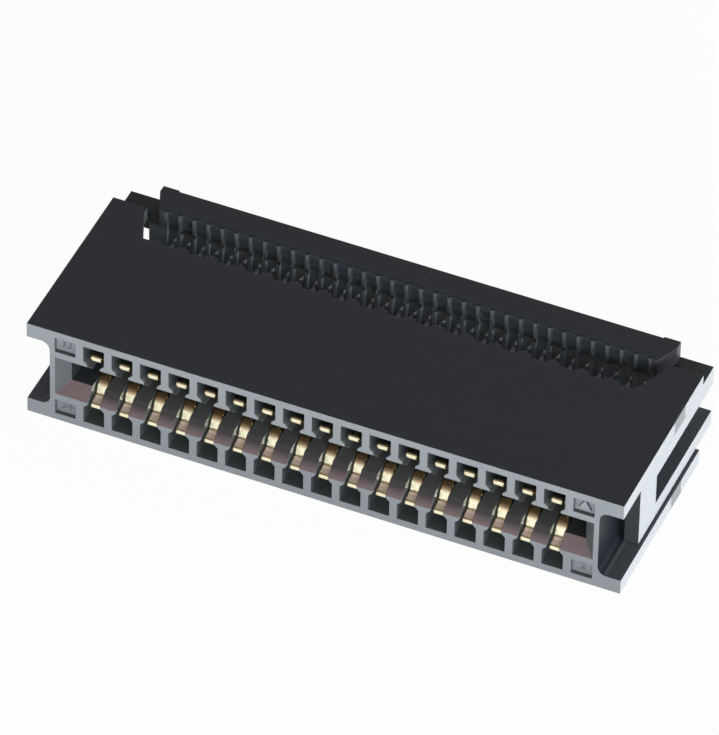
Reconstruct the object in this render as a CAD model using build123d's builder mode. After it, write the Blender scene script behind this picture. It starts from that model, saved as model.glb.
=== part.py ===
from build123d import *
import os

# Ribbon-cable card edge connector, 2 rows of 17 contacts, shown with its cover in the open position.
# X runs along the rows, Y from the mating face to the cable, Z is up.
# The origin is the middle of the card slot, on the mating face. All sizes are in millimetres.

# Contact rows and cable
row_pitch = 2.54
row_places = 17
cable_pitch = row_pitch / 2
wire_count = 2 * row_places
stagger = cable_pitch / 2

# Body: a block between two flanges, which reach past its ends and its rear
end_wall = 1.5
flange_overhang = 2.05
flange_tail = 3.4
flange_thickness = 1.42
body_height = 9.65
block_depth = 13.6
corner_radius = 0.8
edge_tolerance = 0.01

# Card slot
slot_end_room = 2.43
slot_height = 1.9
slot_depth = 9.0
lead_in = 1.05

# Cell round each contact, open to the mating face and to the slot
cell_width = 1.87
cell_wall = 0.68
cell_floor = 0.6
neck_width = 1.14
foot_height = 0.22
foot_bevel = 0.35

# Marking pads in the corners of the mating face
pad_width = 1.85
pad_height = 1.5
pad_depth = 0.4
mark_height = 0.25
mark_radius = 0.65

# Cover notch in the rear edge of each flange
notch_room = 0.31
notch_widening = 1.3
notch_flare = 3.1
end_pocket_length = 0.7

# Pockets that clear the forks along the rear edge
pocket_mouth = 1.65
pocket_floor = 1.15
pocket_depth = 0.4
pocket_reach = 0.55

# Contacts, stamped from strip
strip_thickness = 0.28
strip_width = 0.95
root_height = 2.95
tail_length = 0.95
nose_front = 0.45
nose_top = 2.95
nose_height = 0.65
nose_bevel = 0.2
heel_place = 1.45
heel_rise = 0.08
ramp_place = 1.8
ramp_height = 1.35
bow_place = 2.25
bow_height = 0.85
apex_place = 2.75
apex_height = 0.42
spring_end_gap = 0.4
base_start_gap = 0.1
base_inset = 0.6
fork_width = 1.42
fork_length = 2.8
fork_slot = 0.3
fork_slot_gap = 0.2
fork_tip_length = 1.6
fork_tip_width = 0.15
contact_clearance = 0.06

# Cover and its latch arms
cover_travel = 3.0
cable_gap = 0.5
cover_depth = 2.8
cover_drop = 0.025
cover_side_clearance = 0.1
cover_land_length = 1.45
cover_land_height = 0.15
ridge_width = 0.25
groove_taper = 0.1
groove_depth = 0.2
fork_pocket_clearance = 0.08
fork_pocket_spare = 0.15
locating_hole_radius = 0.5
locating_hole_depth = 1.5
locating_hole_height = 3.85
locating_hole_pitch = 10 * cable_pitch
locating_hole_middle = 11 * cable_pitch
arm_thickness = 1.25
arm_inset = 0.25
arm_flange_gap = 0.25
arm_front = 4.35
arm_post_length = 3.55
window_top = 1.35
window_bottom = -1.7
wing_depth = 1.85
barb_depth = 0.4
barb_length = 1.4
barb_crown = 0.7
catch_height = 2.2
catch_gap = 0.1
catch_length = 1.8
catch_crown = 0.6
catch_clearance = 0.1

# Worked out from the sizes above
slot_length = (row_places - 1) * row_pitch + 2 * slot_end_room
block_length = slot_length + 2 * end_wall
flange_length = block_length + 2 * flange_overhang
flange_depth = block_depth + flange_tail
cell_depth = slot_depth + cell_floor
half_height = body_height / 2
flange_inner = half_height - flange_thickness
slot_half = slot_height / 2
mouth_half = slot_half + lead_in
foot_top = mouth_half + foot_height
cell_top = half_height - cell_wall
pad_x = slot_length / 2 + lead_in - pad_width / 2
pad_z = cell_top - pad_height / 2
notch_half = row_places * cable_pitch + notch_room
notch_mouth_half = notch_half + notch_widening
end_pocket_start = notch_half - end_pocket_length
flare_start = block_depth - pocket_depth
flare_end = flare_start + notch_flare
flare_slope = notch_widening / notch_flare
notch_floor_half = notch_half + pocket_depth * flare_slope
nose_bottom = nose_top - nose_height
spring_end = slot_depth - spring_end_gap
base_start = cell_depth + base_start_gap
base_end = block_depth - base_inset
base_low = -strip_width / 2
base_high = stagger + fork_width / 2
passage_width = base_high - base_low + 2 * contact_clearance
passage_height = strip_thickness + 2 * contact_clearance
fork_reach = block_depth + fork_length
fork_slot_floor = block_depth + fork_slot_gap
fork_tip_start = fork_reach - fork_tip_length
fork_tip_gap = cable_pitch - fork_tip_width
cover_front = block_depth + cable_gap + cover_travel
cover_rear = cover_front + cover_depth
arm_rear = cover_rear + cover_land_height
arm_outer = flange_length / 2 - arm_inset
arm_inner = arm_outer - arm_thickness
arm_half_height = flange_inner - arm_flange_gap
arm_post_rear = arm_front + arm_post_length
cover_half_length = notch_mouth_half - cover_side_clearance
cover_half_height = half_height - cover_drop
land_x = cover_half_length - cover_land_length / 2
groove_mouth = cable_pitch - ridge_width
groove_floor = groove_mouth - 2 * groove_taper
fork_pocket_width = fork_width + 2 * fork_pocket_clearance
fork_pocket_height = strip_thickness + 2 * fork_pocket_clearance
fork_pocket_depth = fork_reach - cover_front + cover_travel + fork_pocket_spare
catch_front = arm_post_rear + catch_gap
catch_reach = arm_inner - catch_clearance

# Each row has its own frame: the lower row is the upper one turned half a turn about Y
upper_row = Plane.XY
lower_row = Plane((0, 0, 0), x_dir=(-1, 0, 0), z_dir=(0, 0, -1))
rows = {"upper": upper_row, "lower": lower_row}


def face_of(row, depth):
    """The plane across Y at a depth behind the mating face, with X and Z as the row has them."""
    return Plane((0, depth, 0), x_dir=row.x_dir, z_dir=(0, -1, 0))


def side_of(row, place):
    """The plane across the row at one place, with Y to the right and the row's own Z up."""
    return Plane(row.x_dir * place, x_dir=row.y_dir, z_dir=row.x_dir)


def cell_outline():
    """One cell in the mating face: a neck beside the slot, a bevel, then the full width."""
    return [
        (-neck_width / 2, 0),
        (-neck_width / 2, foot_top),
        (-cell_width / 2, foot_top + foot_bevel),
        (-cell_width / 2, cell_top),
        (cell_width / 2, cell_top),
        (cell_width / 2, foot_top + foot_bevel),
        (neck_width / 2, foot_top),
        (neck_width / 2, 0),
    ]


def notch_outline(gap, shift, front, rear):
    """The cover notch seen from above, or with a gap the part of the cover that fills it."""
    narrow = notch_half + (front - shift - flare_start) * flare_slope - gap
    wide = notch_mouth_half - gap
    return [
        (-narrow, front),
        (narrow, front),
        (wide, flare_end + shift),
        (wide, rear),
        (-wide, rear),
        (-wide, flare_end + shift),
    ]


# Body
with BuildPart() as body:
    with BuildSketch(Plane.XZ):
        Rectangle(block_length, body_height)
    extrude(amount=-block_depth)
    for row in rows.values():
        with BuildSketch(row.offset(flange_inner)):
            with Locations((0, flange_depth / 2)):
                Rectangle(flange_length, flange_depth)
            Polygon(*notch_outline(0, 0, block_depth, flange_depth), align=None, mode=Mode.SUBTRACT)
        extrude(amount=flange_thickness)
    inner_corners = body.edges().filter_by(Axis.Y).filter_by(
        lambda edge: abs(abs(edge.center().X) - block_length / 2) < edge_tolerance
        and abs(abs(edge.center().Z) - flange_inner) < edge_tolerance
    )
    fillet(inner_corners, corner_radius)

    # Card slot and its lead-in
    with BuildSketch(Plane.XZ):
        Rectangle(slot_length, slot_height)
    extrude(amount=-slot_depth, mode=Mode.SUBTRACT)
    with BuildSketch(Plane.XZ):
        Rectangle(slot_length + 2 * lead_in, slot_height + 2 * lead_in)
    with BuildSketch(Plane.XZ.offset(-lead_in)):
        Rectangle(slot_length, slot_height)
    loft(mode=Mode.SUBTRACT)

    for row in rows.values():
        # Cells
        with BuildSketch(face_of(row, 0)):
            with GridLocations(row_pitch, 0, row_places, 1):
                Polygon(*cell_outline(), align=None)
        extrude(amount=-cell_depth, mode=Mode.SUBTRACT)
        # Passages that hold the contact bases
        with BuildSketch(face_of(row, cell_depth)):
            with Locations(((base_low + base_high) / 2, root_height)):
                with GridLocations(row_pitch, 0, row_places, 1):
                    Rectangle(passage_width, passage_height)
        extrude(amount=cell_depth - block_depth, mode=Mode.SUBTRACT)
        # Fork pockets along the rear edge
        with BuildSketch(row.offset(root_height - pocket_reach)):
            with Locations((stagger, block_depth)):
                with GridLocations(row_pitch, 0, row_places, 1):
                    Polygon(
                        (-pocket_mouth / 2, 0),
                        (-pocket_floor / 2, -pocket_depth),
                        (pocket_floor / 2, -pocket_depth),
                        (pocket_mouth / 2, 0),
                        align=None,
                    )
            for side in (-1, 1):
                Polygon(
                    (side * end_pocket_start, block_depth),
                    (side * end_pocket_start, flare_start),
                    (side * notch_half, flare_start),
                    (side * notch_floor_half, block_depth),
                    align=None,
                )
        extrude(amount=half_height, mode=Mode.SUBTRACT)
        # Marking pads beside the end cells
        with BuildSketch(face_of(row, 0)):
            with GridLocations(2 * pad_x, 0, 2, 1):
                with Locations((0, pad_z)):
                    Rectangle(pad_width, pad_height)
        extrude(amount=-pad_depth, mode=Mode.SUBTRACT)

    # First-contact mark in one pad
    with BuildSketch(Plane.XZ.offset(mark_height - pad_depth)):
        with Locations((pad_x, pad_z)):
            RegularPolygon(mark_radius, 3, rotation=90)
    extrude(amount=-mark_height)

    # Catches that stop the cover's arms, one on each end of the block
    with BuildSketch(Plane.XY.offset(-catch_height / 2)):
        with BuildLine():
            Polyline(
                (block_length / 2, catch_front),
                (catch_reach, catch_front),
                (catch_reach, catch_front + catch_crown),
                (block_length / 2, catch_front + catch_length),
                close=True,
            )
        make_face()
        mirror(about=Plane.YZ)
    extrude(amount=catch_height)

# Cover, with a latch arm at each end
with BuildPart() as cover:
    with BuildSketch(Plane.XY.offset(-arm_half_height)):
        with Locations((0, cover_front + cover_depth / 2)):
            Rectangle(2 * cover_half_length, cover_depth)
    extrude(amount=2 * arm_half_height)
    for row in rows.values():
        with BuildSketch(row.offset(arm_half_height)):
            Polygon(
                *notch_outline(cover_side_clearance, cover_travel, cover_front, cover_rear), align=None
            )
        extrude(amount=cover_half_height - arm_half_height)
    with BuildSketch(Plane.XY.offset(-cover_half_height)):
        with Locations((0, cover_rear + cover_land_height / 2)):
            with GridLocations(2 * land_x, 0, 2, 1):
                Rectangle(cover_land_length, cover_land_height)
    extrude(amount=2 * cover_half_height)

    # Arms: an upper and a lower bar from the wing at the rear to the post at the front
    for low, high in ((window_top, arm_half_height), (-arm_half_height, window_bottom)):
        with BuildSketch(Plane.XY.offset(low)):
            with Locations(((arm_inner + arm_outer) / 2, (arm_front + arm_rear) / 2)):
                Rectangle(arm_thickness, arm_rear - arm_front)
            with Locations(((cover_half_length + arm_outer) / 2, arm_rear - wing_depth / 2)):
                Rectangle(arm_outer - cover_half_length, wing_depth)
            mirror(about=Plane.YZ)
        extrude(amount=high - low)
    with BuildSketch(Plane.XY.offset(-arm_half_height)):
        with Locations(((arm_inner + arm_outer) / 2, arm_front + arm_post_length / 2)):
            Rectangle(arm_thickness, arm_post_length)
        mirror(about=Plane.YZ)
    extrude(amount=2 * arm_half_height)
    with BuildSketch(Plane.XY.offset(-catch_height / 2)):
        with BuildLine():
            Polyline(
                (arm_inner, arm_post_rear - barb_length),
                (arm_inner - barb_depth, arm_post_rear - barb_crown),
                (arm_inner - barb_depth, arm_post_rear),
                (arm_inner, arm_post_rear),
                close=True,
            )
        make_face()
        mirror(about=Plane.YZ)
    extrude(amount=catch_height)

    # Wire grooves across the front, one for each wire of the cable
    with BuildSketch(Plane.XY.offset(-cover_half_height)):
        with Locations((0, cover_front)):
            with GridLocations(cable_pitch, 0, wire_count, 1):
                Polygon(
                    (-groove_mouth / 2, 0),
                    (groove_mouth / 2, 0),
                    (groove_floor / 2, groove_depth),
                    (-groove_floor / 2, groove_depth),
                    align=None,
                )
    extrude(amount=2 * cover_half_height, mode=Mode.SUBTRACT)
    # Pockets that take the forks when the cover is pressed home
    for row in rows.values():
        with BuildSketch(face_of(row, cover_front)):
            with Locations((stagger, root_height)):
                with GridLocations(row_pitch, 0, row_places, 1):
                    Rectangle(fork_pocket_width, fork_pocket_height)
        extrude(amount=-fork_pocket_depth, mode=Mode.SUBTRACT)
        with BuildSketch(face_of(row, cover_front)):
            with Locations((0, locating_hole_height)):
                with GridLocations(2 * locating_hole_pitch + locating_hole_middle, 0, 2, 1):
                    Circle(locating_hole_radius)
                with GridLocations(locating_hole_middle, 0, 2, 1):
                    Circle(locating_hole_radius)
        extrude(amount=-locating_hole_depth, mode=Mode.SUBTRACT)


def left_of(path, distance):
    """The points of a path moved to its left, with every corner kept sharp."""
    points = [Vector(*point) for point in path]
    headings = [(after - before).normalized() for before, after in zip(points, points[1:])]
    moved = []
    for point, before, after in zip(points, headings[:1] + headings, headings + headings[-1:]):
        middle = (before + after).normalized()
        moved.append(point + middle.rotate(Axis.Z, 90) * (distance / middle.dot(before)))
    return moved


def contact(row, place):
    """One contact at a place along its row: a bowed spring, then a flat base and a slotted fork."""
    with BuildPart() as piece:
        inner = root_height - strip_thickness / 2
        spring = [
            (heel_place, nose_bottom - heel_rise),
            (ramp_place, ramp_height),
            (bow_place, bow_height),
            (apex_place, apex_height),
            (spring_end, inner),
            (base_start, inner),
        ]
        tail = (nose_front + tail_length, nose_top)
        sharp = [tail, (nose_front, nose_top), (nose_front, nose_bottom), *spring]
        bevelled = [
            tail,
            (nose_front + nose_bevel, nose_top),
            (nose_front, nose_top - nose_bevel),
            (nose_front, nose_bottom + nose_bevel),
            (nose_front + nose_bevel, nose_bottom),
            *spring,
        ]
        with BuildSketch(side_of(row, place)):
            Polygon(*bevelled, *reversed(left_of(sharp, strip_thickness)), align=None)
        extrude(amount=strip_width / 2, both=True)
        with BuildSketch(row.offset(inner)):
            with Locations((place + (base_low + base_high) / 2, (base_start + base_end) / 2)):
                Rectangle(base_high - base_low, base_end - base_start)
            with Locations((place + stagger, 0)):
                Polygon(
                    (-fork_width / 2, base_end),
                    (-fork_width / 2, fork_tip_start),
                    (-fork_tip_gap / 2 - fork_tip_width, fork_reach),
                    (-fork_tip_gap / 2, fork_reach),
                    (-fork_slot / 2, fork_tip_start),
                    (-fork_slot / 2, fork_slot_floor),
                    (fork_slot / 2, fork_slot_floor),
                    (fork_slot / 2, fork_tip_start),
                    (fork_tip_gap / 2, fork_reach),
                    (fork_tip_gap / 2 + fork_tip_width, fork_reach),
                    (fork_width / 2, fork_tip_start),
                    (fork_width / 2, base_end),
                    align=None,
                )
        extrude(amount=strip_thickness)
    return piece.part


os.makedirs("parts", exist_ok=True)
body.part.label = "body"
export_step(body.part, "parts/body.step")
cover.part.label = "cover"
export_step(cover.part, "parts/cover.step")
# Contacts are numbered like the wires of the cable: the upper row is odd and the lower row even
for number in range(1, wire_count + 1):
    step = (number - 1) // 2 - (row_places - 1) / 2
    if number % 2 == 1:
        part = contact(upper_row, step * row_pitch)
    else:
        part = contact(lower_row, -step * row_pitch)
    part.label = f"contact_{number:02d}"
    export_step(part, f"parts/contact_{number:02d}.step")
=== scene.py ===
import math

import bmesh
import bpy
from mathutils import Matrix, Vector


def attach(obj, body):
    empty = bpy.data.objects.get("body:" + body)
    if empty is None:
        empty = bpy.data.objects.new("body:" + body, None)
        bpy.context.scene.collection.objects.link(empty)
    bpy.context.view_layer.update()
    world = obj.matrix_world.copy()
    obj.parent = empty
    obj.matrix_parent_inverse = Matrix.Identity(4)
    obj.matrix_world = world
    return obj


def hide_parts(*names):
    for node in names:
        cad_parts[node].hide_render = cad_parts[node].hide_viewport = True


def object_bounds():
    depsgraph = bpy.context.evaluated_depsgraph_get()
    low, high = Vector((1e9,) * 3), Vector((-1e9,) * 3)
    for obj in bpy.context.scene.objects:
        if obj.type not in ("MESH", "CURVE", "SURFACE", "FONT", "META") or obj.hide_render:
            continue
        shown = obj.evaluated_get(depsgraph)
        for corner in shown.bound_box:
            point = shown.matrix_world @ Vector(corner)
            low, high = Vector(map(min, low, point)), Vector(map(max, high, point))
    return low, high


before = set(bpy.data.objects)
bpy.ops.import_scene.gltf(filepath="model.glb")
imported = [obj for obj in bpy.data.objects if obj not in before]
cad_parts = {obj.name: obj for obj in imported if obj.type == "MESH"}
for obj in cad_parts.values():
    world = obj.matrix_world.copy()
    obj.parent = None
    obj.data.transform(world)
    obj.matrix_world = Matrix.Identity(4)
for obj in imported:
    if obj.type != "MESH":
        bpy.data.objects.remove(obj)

cad_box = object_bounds()
MM = 0.001

# Sizes of the solids that the finishes and the contacts follow, in millimetres
row_pitch = 2.54
row_places = 17
cable_pitch = row_pitch / 2
strip_thickness = 0.28
strip_width = 0.95
strip_level = 2.95
contacts_end = 20.8
slot_half_height = 0.95
slot_end = 22.75
lead_in = 1.05
block_end = 24.25
flange_end = 26.3
cover_front = 17.1
cover_rear = 19.9
grooves_end = 21.7

# What the camera and the lamps point at
aim = Vector((0, 8.5 * MM, 0))


def look(azimuth, elevation, roll, distance, focal_px, width_px, slide_x, slide_y):
    """The camera, at the photograph's viewing angle."""
    a = math.radians(azimuth)
    e = math.radians(elevation)
    r = math.radians(roll)
    forward = Vector((-math.sin(a) * math.cos(e), math.cos(a) * math.cos(e), -math.sin(e)))
    level = Vector((math.cos(a), math.sin(a), 0))
    rise = level.cross(forward)
    right = level * math.cos(r) + rise * math.sin(r)
    up = rise * math.cos(r) - level * math.sin(r)
    place = aim - forward * distance + right * slide_x + up * slide_y
    data = bpy.data.cameras.new("Camera")
    data.sensor_fit = "HORIZONTAL"
    data.sensor_width = 36
    data.lens = focal_px / width_px * data.sensor_width
    data.clip_start = 0.01
    data.clip_end = 20
    camera = bpy.data.objects.new("Camera", data)
    bpy.context.scene.collection.objects.link(camera)
    turn = Matrix((right, up, -forward)).transposed().to_4x4()
    camera.matrix_world = Matrix.Translation(place) @ turn
    bpy.context.scene.camera = camera


look(
    azimuth=22.54,
    elevation=42.54,
    roll=1.31,
    distance=771.73 * MM,
    focal_px=9456.15,
    width_px=719,
    slide_x=-0.32 * MM,
    slide_y=2.08 * MM,
)


class Nodes:
    """A short way to write a node tree: most calls add one node and return the output asked for."""

    def __init__(self, owner):
        owner.use_nodes = True
        self.owner = owner
        self.tree = owner.node_tree
        self.tree.nodes.clear()

    def add(self, kind, inputs=None, out=0, **settings):
        node = self.tree.nodes.new(kind)
        for key, value in settings.items():
            setattr(node, key, value)
        for key, value in (inputs or {}).items():
            if hasattr(value, "links"):
                self.tree.links.new(value, node.inputs[key])
            else:
                node.inputs[key].default_value = value
        return node.outputs[out]

    def maths(self, operation, first, second=0.0):
        return self.add("ShaderNodeMath", {0: first, 1: second}, operation=operation)

    def ramp(self, value, low, high, from_value=0.0, to_value=1.0):
        return self.add(
            "ShaderNodeMapRange",
            {"Value": value, "From Min": low, "From Max": high, "To Min": from_value, "To Max": to_value},
        )

    def step(self, value, zero, one):
        """A mask by a length: 0 at the first size in millimetres, 1 at the second, whichever is larger."""
        return self.ramp(value, zero * MM, one * MM)

    def all_of(self, mask, *others):
        """The product of masks."""
        for other in others:
            mask = self.maths("MULTIPLY", mask, other)
        return mask

    def mix(self, factor, first, second, blend="MIX"):
        return self.add(
            "ShaderNodeMix",
            {"Factor": factor, 6: first, 7: second},
            out=2,
            data_type="RGBA",
            blend_type=blend,
        )

    def paint(self, mask, colour, tone):
        """One tone over a colour, where the mask is 1."""
        return self.mix(mask, colour, (*tone, 1))

    def noise(self, vector, scale, detail, roughness):
        return self.add(
            "ShaderNodeTexNoise",
            {"Vector": vector, "Scale": scale, "Detail": detail, "Roughness": roughness},
        )

    def locate(self):
        """Reads where a point lies in the object's frame."""
        self.place = self.add("ShaderNodeTexCoord", out=3)
        self.x, self.y, self.z = self.add("ShaderNodeSeparateXYZ", {0: self.place}).node.outputs

    def face(self):
        """Reads how far a point is from the middle of the rows, and which way the surface faces there."""
        self.from_middle = self.maths("ABSOLUTE", self.x)
        facing = self.add("ShaderNodeTexCoord", out=1)
        facing_x, facing_y, self.upward = self.add("ShaderNodeSeparateXYZ", {0: facing}).node.outputs
        self.across = self.maths("ABSOLUTE", facing_x)
        self.along = self.maths("ABSOLUTE", facing_y)

    def finish(self, surface, kind="ShaderNodeOutputMaterial"):
        output = self.tree.nodes.new(kind)
        self.tree.links.new(surface, output.inputs["Surface"])
        return self.owner


plain_shine = 0.5


def cover_tones(n, colour):
    """The cover's colour and shine: dull dark grooves, painted highlight on the ridges, and paint paler far
    down in the gap to lift its shade.
    """
    # The wire grooves are darker and duller than the ridges between them, as the ridges get a painted
    # highlight; the wings are painted a little paler on top to lift the shade that the flange casts on them
    middle = n.step(n.from_middle, grooves_end + 0.05, grooves_end - 0.05)
    near_front = n.step(n.y, cover_front + 0.4, cover_front + 0.3)
    lit_ridge = n.all_of(middle, n.step(n.y, cover_front + 0.06, cover_front + 0.01))
    groove = n.all_of(middle, near_front)
    wing_shade_lift = n.all_of(n.step(n.from_middle, 23.2, 23.3), n.ramp(n.across, 0.5, 0.3))
    colour = n.paint(groove, colour, (0.027, 0.034, 0.039))
    colour = n.paint(lit_ridge, colour, (0.08, 0.086, 0.091))
    colour = n.paint(wing_shade_lift, colour, (0.04, 0.043, 0.046))
    # Deep in the cable gap, and in the pockets for the forks, the plastic is painted paler to lift the shade
    # there
    facing_gap = n.all_of(
        near_front,
        n.ramp(n.along, 0.4, 0.6),
        n.step(n.from_middle, 23.25, 23.2),
        n.step(n.x, grooves_end + 0.3, grooves_end + 0.1),
    )
    forks = n.all_of(n.step(n.y, 18.8, 18.6), n.step(n.from_middle, grooves_end + 0.1, grooves_end))
    gap = n.maths("MAXIMUM", forks, facing_gap)
    deep_shade_lift = n.all_of(gap, n.step(n.z, 4.1, 3.1))
    deepest_shade_lift = n.all_of(gap, n.step(n.z, 3.3, 2.3))
    pocket_shade_lift = n.all_of(deep_shade_lift, n.step(n.y, cover_front + 0.2, cover_front + 0.3))
    colour = n.paint(deep_shade_lift, colour, (0.11, 0.135, 0.15))
    colour = n.paint(n.maths("MAXIMUM", pocket_shade_lift, deepest_shade_lift), colour, (0.3, 0.34, 0.37))
    # The sills of the arms' windows are painted paler to lift their shade, the front of their posts and the
    # cover's flanks duller
    arm = n.step(n.from_middle, 24.4, 24.6)
    sill_shade_lift = n.all_of(arm, n.ramp(n.upward, 0.8, 0.9), n.step(n.z, -1, -1.5))
    colour = n.paint(sill_shade_lift, colour, (0.065, 0.078, 0.086))
    post = n.all_of(arm, n.ramp(n.along, 0.5, 0.7), n.step(n.y, 10, 9))
    flank = n.all_of(n.step(n.from_middle, 23.5, 23.3), n.ramp(n.across, 0.5, 0.7), n.step(n.y, 19.3, 19))
    dull = n.maths("ADD", n.maths("SUBTRACT", groove, lit_ridge), n.maths("MAXIMUM", post, flank))
    return colour, n.ramp(dull, 0, 1, plain_shine, 0.15)


def body_tones(n, colour):
    """The body's colour and shine: painted paler in the cells and the slot to lift their shade, with a
    painted rosy reflection on the slot's lower lip.
    """
    # The cells and the slot are painted a little paler than the outside, to lift the shade in them
    from_level = n.maths("ABSOLUTE", n.z)
    inside_shade_lift = n.all_of(n.step(from_level, 4.7, 4.6), n.step(n.from_middle, 26, 25.9))
    colour = n.paint(inside_shade_lift, colour, (0.08, 0.091, 0.096))
    # The floor of the slot is painted paler between the contacts and gets painted shade past them, and the
    # slot's end walls get painted shade
    slot_floor = n.all_of(
        n.ramp(n.upward, 0.8, 0.95),
        n.step(from_level, slot_half_height + 0.15, slot_half_height + 0.05),
    )
    past_contacts = n.step(n.from_middle, contacts_end - 0.1, contacts_end + 0.1)
    slot_floor_shading = n.mix(past_contacts, (0.1, 0.11, 0.11, 1), (0.036, 0.042, 0.047, 1))
    colour = n.mix(slot_floor, colour, slot_floor_shading)
    end_wall_shade = n.all_of(
        n.ramp(n.across, 0.9, 0.98),
        n.step(from_level, slot_half_height + 0.05, slot_half_height - 0.01),
        n.step(n.from_middle, slot_end - 0.15, slot_end - 0.05),
        n.step(n.from_middle, slot_end + 0.15, slot_end + 0.05),
    )
    colour = n.paint(end_wall_shade, colour, (0.03, 0.035, 0.04))
    # The sloping lip below the card slot is painted with a rosy reflection in front and past the contacts,
    # and with painted shade between them
    lip = n.all_of(
        n.ramp(n.upward, 0.5, 0.65),
        n.ramp(n.upward, 0.9, 0.8),
        n.step(n.y, lead_in + 0.25, lead_in + 0.15),
        n.step(n.from_middle, block_end - 0.25, block_end - 0.35),
        n.step(n.z, 0.1 - slot_half_height, -slot_half_height),
    )
    between = n.all_of(n.step(n.from_middle, contacts_end, contacts_end - 0.2), n.step(n.y, 0.15, 0.7))
    lip_reflection_and_shade = n.mix(between, (0.15, 0.108, 0.11, 1), (0.035, 0.031, 0.033, 1))
    colour = n.mix(lip, colour, lip_reflection_and_shade)
    # Behind the overhang of the flanges the block's ends are dull and get painted shade, and the lower
    # flange is painted a little paler to lift its shade
    beside = n.all_of(n.step(n.from_middle, block_end - 0.15, block_end - 0.05), n.ramp(n.along, 0.7, 0.5))
    ledge_shade_lift = n.all_of(beside, n.ramp(n.upward, 0.9, 0.98), n.step(n.z, 0, -1))
    web_shade = n.all_of(
        beside,
        n.step(n.from_middle, flange_end - 0.6, flange_end - 0.9),
        n.ramp(n.maths("ABSOLUTE", n.upward), 0.98, 0.9),
        n.step(n.y, 7, 4.5),
    )
    colour = n.paint(ledge_shade_lift, colour, (0.075, 0.08, 0.09))
    colour = n.paint(web_shade, colour, (0.01, 0.013, 0.017))
    return colour, n.ramp(web_shade, 0, 1, plain_shine, 0.2)


def moulding(name, tone, lit_front_tone, lit_end_tone, tones=None):
    """Moulded plastic: dark smooth main faces, outer faces painted paler as painted light, fine grain and
    soft edges with a painted highlight.
    """
    n = Nodes(bpy.data.materials.new(name))
    n.locate()
    n.face()
    colour = (*tone, 1)
    shine = plain_shine
    if tones:
        colour, shine = tones(n, colour)
    # Painted light: the outer faces (the mating face in front, the back, and the ends of the flanges and
    # arms) are painted paler as lit faces, the front paint paler towards the top
    at_front = n.step(n.y, 1.3, 0.3)
    at_back = n.step(n.y, cover_rear - 0.5, cover_rear - 0.1)
    outside = n.step(n.from_middle, flange_end - 0.6, flange_end - 0.4)
    front = n.all_of(n.ramp(n.along, 0.72, 0.95), n.maths("MAXIMUM", at_front, at_back))
    end = n.all_of(n.ramp(n.across, 0.3, 0.9), outside)
    shade = n.ramp(n.z, -4.8 * MM, 4.8 * MM, 0.85, 1.15)
    pale = n.mix(1.0, (*lit_front_tone, 1), shade, "MULTIPLY")
    colour = n.mix(front, colour, pale)
    colour = n.paint(end, colour, lit_end_tone)
    # A dull patch on each flange end, where the mould's gate was cut off
    gate_place = 12.0 * MM
    gate_waviness = 0.8 * MM
    from_gate = n.maths("ABSOLUTE", n.maths("SUBTRACT", n.y, gate_place))
    wobble = n.maths("MULTIPLY", n.noise(n.place, 1800, 2, 0.5), gate_waviness)
    patch = n.all_of(
        n.step(n.maths("ADD", from_gate, wobble), 1.7, 1.35),
        n.step(n.from_middle, flange_end - 0.2, flange_end - 0.1),
        0.62,
    )
    colour = n.paint(patch, colour, (0.07, 0.075, 0.075))
    # Clouding, grain and a few pale flecks
    cloud = n.noise(n.place, 260, 4, 0.6)
    grain = n.noise(n.place, 5200, 3, 0.6)
    fleck = n.noise(n.place, 1500, 2, 0.4)
    colour = n.mix(n.ramp(cloud, 0.35, 0.75, 0.0, 0.3), colour, (0.3, 0.3, 0.33, 1), "SOFT_LIGHT")
    colour = n.mix(n.ramp(grain, 0.3, 0.8, 0.0, 0.16), colour, (0.9, 0.9, 0.9, 1), "SOFT_LIGHT")
    colour = n.paint(n.ramp(fleck, 0.74, 0.8, 0.0, 0.12), colour, (0.3, 0.3, 0.32))
    # Edges are rounded, with a painted highlight that makes them a little paler than the faces
    rounded = n.add("ShaderNodeBevel", {"Radius": 0.08 * MM}, samples=4)
    flat = n.add("ShaderNodeNewGeometry", out=1)
    meet = n.add("ShaderNodeVectorMath", {0: rounded, 1: flat}, out=1, operation="DOT_PRODUCT")
    edge_highlight = n.all_of(n.ramp(meet, 0.995, 0.86), 0.08)
    colour = n.paint(edge_highlight, colour, (0.4, 0.4, 0.42))
    blend = n.maths("ADD", n.maths("MULTIPLY", grain, 0.4), n.maths("MULTIPLY", cloud, 0.6))
    rough = n.ramp(blend, 0.3, 0.7, 0.36, 0.5)
    bump = n.add(
        "ShaderNodeBump",
        {"Strength": 0.3, "Distance": 0.015 * MM, "Height": grain, "Normal": rounded},
    )
    surface = n.add(
        "ShaderNodeBsdfPrincipled",
        {"Base Color": colour, "Roughness": rough, "Normal": bump, "Specular IOR Level": shine},
    )
    return n.finish(surface)


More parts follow.
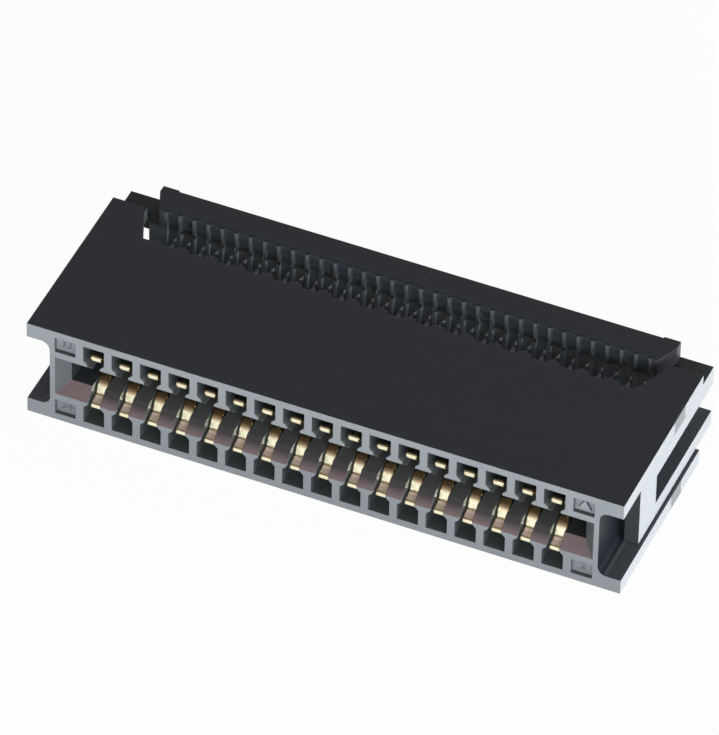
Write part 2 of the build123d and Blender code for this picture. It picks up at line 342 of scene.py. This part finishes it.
def plated(name, gold, tin, change_at):
    """Strip plated with gold at the spring and with tin at the tail, with rolling marks along it."""
    n = Nodes(bpy.data.materials.new(name))
    n.locate()
    tail = n.step(n.y, change_at - 0.3, change_at + 0.3)
    tip_highlight = n.step(n.y, 15.85, 16)
    # The flat heel behind the nose is dull, with a painted rosy reflection; the bow above it and the strip's
    # side edges are darkened brown with painted dark reflection
    from_level = n.maths("ABSOLUTE", n.z)
    heel_reflection = n.all_of(
        n.step(n.y, 0.6, 0.75),
        n.step(n.y, 1.62, 1.5),
        n.step(from_level, 2.1, 2.18),
        n.step(from_level, 2.55, 2.45),
    )
    bow_reflection = n.all_of(n.step(n.y, 1.9, 2.15), n.step(n.y, 2.75, 2.62))
    from_strip_middle = n.maths("PINGPONG", n.x, cable_pitch * MM)
    side_reflection = n.all_of(n.step(from_strip_middle, 0.3, 0.46), 0.8)
    stretched = n.add("ShaderNodeMapping", {"Vector": n.place, "Scale": (9000, 900, 900)})
    lines = n.noise(stretched, 1.0, 3, 0.6)
    cloud = n.noise(n.place, 700, 3, 0.5)
    colour = n.mix(n.ramp(cloud, 0.4, 0.75, 0.0, 0.2), (*gold, 1), (0.84, 0.74, 0.52, 1), "MULTIPLY")
    colour = n.paint(heel_reflection, colour, (1.0, 0.78, 0.64))
    colour = n.mix(bow_reflection, colour, (0.24, 0.2, 0.15, 1), "MULTIPLY")
    colour = n.mix(side_reflection, colour, (0.45, 0.4, 0.25, 1), "MULTIPLY")
    colour = n.paint(tail, colour, tin)
    # Painted highlight: the fork tips are painted pale
    colour = n.paint(tip_highlight, colour, (0.8, 0.82, 0.84))
    dull = n.maths("MAXIMUM", tip_highlight, heel_reflection)
    rough = n.maths("ADD", n.ramp(lines, 0.3, 0.7, 0.16, 0.28), n.maths("MULTIPLY", dull, 0.3))
    bump = n.add("ShaderNodeBump", {"Strength": 0.2, "Distance": 0.006 * MM, "Height": lines})
    surface = n.add(
        "ShaderNodeBsdfPrincipled",
        {
            "Base Color": colour,
            "Metallic": n.ramp(heel_reflection, 0, 1, 1.0, 0.15),
            "Roughness": rough,
            "Normal": bump,
        },
    )
    return n.finish(surface)


# The dark tone is the plastic's own; the paler front and end tones are painted light on the lit outer faces,
# and the marks take pale paint near the pads' painted front so that mostly their shading shows
dark_plastic = (0.031, 0.0325, 0.037)
lit_end_paint = (0.46, 0.485, 0.505)
mark_lit_paint = (0.2, 0.22, 0.235)
body_finish = moulding("housing_moulding", dark_plastic, (0.22, 0.24, 0.255), lit_end_paint, body_tones)
mark_finish = moulding("mark_moulding", (0.13, 0.145, 0.155), mark_lit_paint, mark_lit_paint)
cover_finish = moulding("cover_moulding", dark_plastic, (0.1, 0.105, 0.11), lit_end_paint, cover_tones)
contact_finish = plated("contact_plating", gold=(0.93, 0.88, 0.64), tin=(0.36, 0.37, 0.385), change_at=9.5)

mouldings = {"body": body_finish, "cover": cover_finish}
for name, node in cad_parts.items():
    node.data.materials.clear()
    node.data.materials.append(mouldings.get(name, contact_finish))


# Contacts: the same strips as in the solids, with their bends rounded and their edges softened.
# The spring is a path of the strip's middle in Y and Z, with a radius for each bend.
fork_start = 9.7
strip_path = [
    (1.4, 2.81),
    (0.59, 2.81),
    (0.59, 2.43),
    (1.548, 2.353),
    (1.921, 1.425),
    (2.348, 0.95),
    (2.776, 0.582),
    (8.573, strip_level),
    (fork_start, strip_level),
]
strip_radii = [0.182, 0.182, 0.75, 1.0, 1.2, 0.3, 3.0]

# The fork is a flat outline in X and Y, with X from the middle of its slot
fork_side = 0.71
fork_wide_from = 13.0
tip_from = 16
tip_half_thickness = 0.08
tines = [
    (-fork_side, fork_wide_from),
    (-fork_side, 16.3),
    (-0.67, 16.4),
    (-0.6, 16.4),
    (-0.54, 16.2),
    (-0.15, 14.8),
    (-0.15, 13.8),
    (0.15, 13.8),
    (0.15, 14.8),
    (0.54, 16.2),
    (0.6, 16.4),
    (0.67, 16.4),
    (fork_side, 16.3),
    (fork_side, fork_start),
]


def rounded_path(points, radii, step):
    """A path with its corners replaced by arcs: a list of (point, heading)."""
    points = [Vector(p) for p in points]
    out = [(points[0], (points[1] - points[0]).normalized())]
    for before, corner, after, radius in zip(points, points[1:], points[2:], radii):
        come = (corner - before).normalized()
        go = (after - corner).normalized()
        turn = come.angle_signed(go) * -1
        reach = radius * math.tan(abs(turn) / 2)
        first = corner - come * reach
        side = Vector((-come.y, come.x)) * (1 if turn > 0 else -1)
        centre = first + side * radius
        arm = first - centre
        count = max(2, round(abs(turn) / step))
        for i in range(count + 1):
            c, s = math.cos(turn * i / count), math.sin(turn * i / count)
            heading = Vector((come.x * c - come.y * s, come.x * s + come.y * c))
            out.append((centre + Vector((arm.x * c - arm.y * s, arm.x * s + arm.y * c)), heading))
    out.append((points[-1], (points[-1] - points[-2]).normalized()))
    return out


strip_line = rounded_path(strip_path, strip_radii, step=math.radians(9))
sharp_angle = math.radians(40)


def contact_mesh(name, row, place):
    """One contact: row is 1 above the slot and -1 below it, where the contact is turned over about Y."""
    mesh = bmesh.new()
    half_width = strip_width / 2

    def at(x, y, z):
        return mesh.verts.new(((place + row * x) * MM, y * MM, row * z * MM))

    # The spring: a ring of four corners at each point of the path
    corners = [(-half_width, -1), (half_width, -1), (half_width, 1), (-half_width, 1)]
    rings = []
    for point, heading in strip_line:
        side = Vector((-heading.y, heading.x)) * strip_thickness / 2
        rings.append([at(x, point.x + sign * side.x, point.y + sign * side.y) for x, sign in corners])
    for a, b in zip(rings, rings[1:]):
        for i in range(4):
            j = (i + 1) % 4
            mesh.faces.new((a[i], a[j], b[j], b[i]))
    mesh.faces.new(rings[0][::-1])
    mesh.faces.new(rings[-1])

    # The fork, half a cable pitch to one side and thinner at its tips
    outline = [(-half_width, fork_start), (-half_width, fork_wide_from)]
    outline += [(x + cable_pitch / 2, y) for x, y in tines]
    lower, upper = [
        [
            at(x, y, strip_level + sign * (tip_half_thickness if y > tip_from else strip_thickness / 2))
            for x, y in outline
        ]
        for sign in (-1, 1)
    ]
    mesh.faces.new(upper)
    mesh.faces.new(lower[::-1])
    count = len(outline)
    for i in range(count):
        j = (i + 1) % count
        mesh.faces.new((lower[i], lower[j], upper[j], upper[i]))

    bmesh.ops.recalc_face_normals(mesh, faces=mesh.faces)
    data = bpy.data.meshes.new(name)
    mesh.to_mesh(data)
    mesh.free()
    for face in data.polygons:
        face.use_smooth = True
    data.set_sharp_from_angle(angle=sharp_angle)
    piece = bpy.data.objects.new(name, data)
    bpy.context.scene.collection.objects.link(piece)
    soften = piece.modifiers.new("soft_edges", "BEVEL")
    soften.width = 0.035 * MM
    soften.segments = 2
    soften.limit_method = "ANGLE"
    soften.angle_limit = sharp_angle
    data.materials.append(contact_finish)
    return piece


for number in range(1, 2 * row_places + 1):
    place = ((number - 1) // 2 - (row_places - 1) / 2) * row_pitch
    row = 1 if number % 2 else -1
    piece = contact_mesh(f"contact_strip_{number:02d}", row, place)
    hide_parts(f"contact_{number:02d}")
    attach(piece, "socket")


# Small raised numbers in the marking pads: the last pair on the left and the second contact on the right
pad_x = 22.87
pad_z = 3.4
number_height = 1.05
number_half_thickness = 0.03
number_depth = 0.385


def pad_number(name, words, x, z):
    curve = bpy.data.curves.new(name, "FONT")
    curve.body = words
    curve.size = number_height * MM
    curve.extrude = number_half_thickness * MM
    curve.align_x = "CENTER"
    curve.align_y = "CENTER"
    curve.materials.append(mark_finish)
    piece = bpy.data.objects.new(name, curve)
    bpy.context.scene.collection.objects.link(piece)
    piece.rotation_euler = (math.radians(90), 0, 0)
    piece.location = (x * MM, number_depth * MM, z * MM)
    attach(piece, "socket")


pad_number("pad_number_33", "33", -pad_x, pad_z)
pad_number("pad_number_34", "34", -pad_x, -pad_z)
pad_number("pad_number_2", "2", pad_x, -pad_z)


def floor_paper():
    """The floor: pale, with the object's soft shadow, and nearly white where the camera sees it."""
    n = Nodes(bpy.data.materials.new("floor_paper"))
    place = n.add("ShaderNodeTexCoord", out=3)
    fibre = n.noise(place, 900, 4, 0.6)
    colour = n.mix(n.ramp(fibre, 0.3, 0.7, 0.0, 0.06), (0.86, 0.86, 0.86, 1), (0.8, 0.8, 0.8, 1))
    paper = n.add("ShaderNodeBsdfDiffuse", {"Color": colour, "Roughness": 0.6})
    path = n.add("ShaderNodeLightPath").node
    seen = n.maths("MAXIMUM", path.outputs["Is Camera Ray"], path.outputs["Is Glossy Ray"])
    seen = n.maths("MAXIMUM", seen, path.outputs["Is Transmission Ray"])
    glow = n.add("ShaderNodeEmission", {"Color": (1, 1, 1, 1), "Strength": 1.0})
    glow_share = n.maths("MULTIPLY", seen, 0.96)
    return n.finish(n.add("ShaderNodeMixShader", {0: glow_share, 1: paper, 2: glow}))


lowest = cad_box[0]
bpy.ops.mesh.primitive_plane_add(size=8, location=(0, 0, lowest[2]))
floor = bpy.context.object
floor.name = "studio_floor"
floor.data.materials.append(floor_paper())


def studio_world(horizon, overhead, diffuse):
    """White for the camera. Reflections and light see it white near the horizon and dim overhead."""
    world = bpy.data.worlds.new("studio_world")
    bpy.context.scene.world = world
    n = Nodes(world)
    path = n.add("ShaderNodeLightPath").node
    camera_ray = path.outputs["Is Camera Ray"]
    direction = n.add("ShaderNodeTexCoord", out=0)
    height = n.add("ShaderNodeSeparateXYZ", {0: direction}, out=2)
    sky = n.ramp(height, 0.1, 0.55, horizon, overhead)
    through = n.maths("MAXIMUM", path.outputs["Is Glossy Ray"], path.outputs["Is Transmission Ray"])
    lit = n.maths("MULTIPLY", sky, n.ramp(through, 0, 1, diffuse, 1.0))
    strength = n.maths("MAXIMUM", camera_ray, lit)
    # A dull rosy patch in front, half way up, which the sloping parts of the contacts mirror
    patch_place = (-0.28, -0.68, 0.68)
    ahead = n.add("ShaderNodeVectorMath", {0: direction, 1: patch_place}, out=1, operation="DOT_PRODUCT")
    rosy = n.ramp(ahead, 0.85, 0.96)
    colour = n.mix(rosy, (0.95, 0.985, 1.03, 1), (1.4, 1.0, 0.8, 1))
    colour = n.mix(camera_ray, colour, (1, 1, 1, 1))
    n.finish(n.add("ShaderNodeBackground", {"Color": colour, "Strength": strength}), "ShaderNodeOutputWorld")


studio_world(horizon=1.0, overhead=0.145, diffuse=0.9)


def softbox(name, azimuth, elevation, width, height):
    """A soft lamp at an angle round the object, with azimuth and elevation as the camera has them."""
    a = math.radians(azimuth)
    e = math.radians(elevation)
    away = Vector((math.sin(a) * math.cos(e), -math.cos(a) * math.cos(e), math.sin(e)))
    distance = 0.6
    data = bpy.data.lights.new(name, "AREA")
    data.shape = "RECTANGLE"
    data.size = width
    data.size_y = height
    data.energy = 3.2
    data.color = (0.95, 0.98, 1.0)
    lamp = bpy.data.objects.new(name, data)
    bpy.context.scene.collection.objects.link(lamp)
    lamp.location = aim + away * distance
    lamp.rotation_euler = away.to_track_quat("Z", "Y").to_euler()


softbox("front_softbox", azimuth=20, elevation=12, width=0.5, height=0.16)
softbox("right_softbox", azimuth=84, elevation=10, width=0.4, height=0.14)

bpy.context.scene.view_settings.view_transform = "Standard"
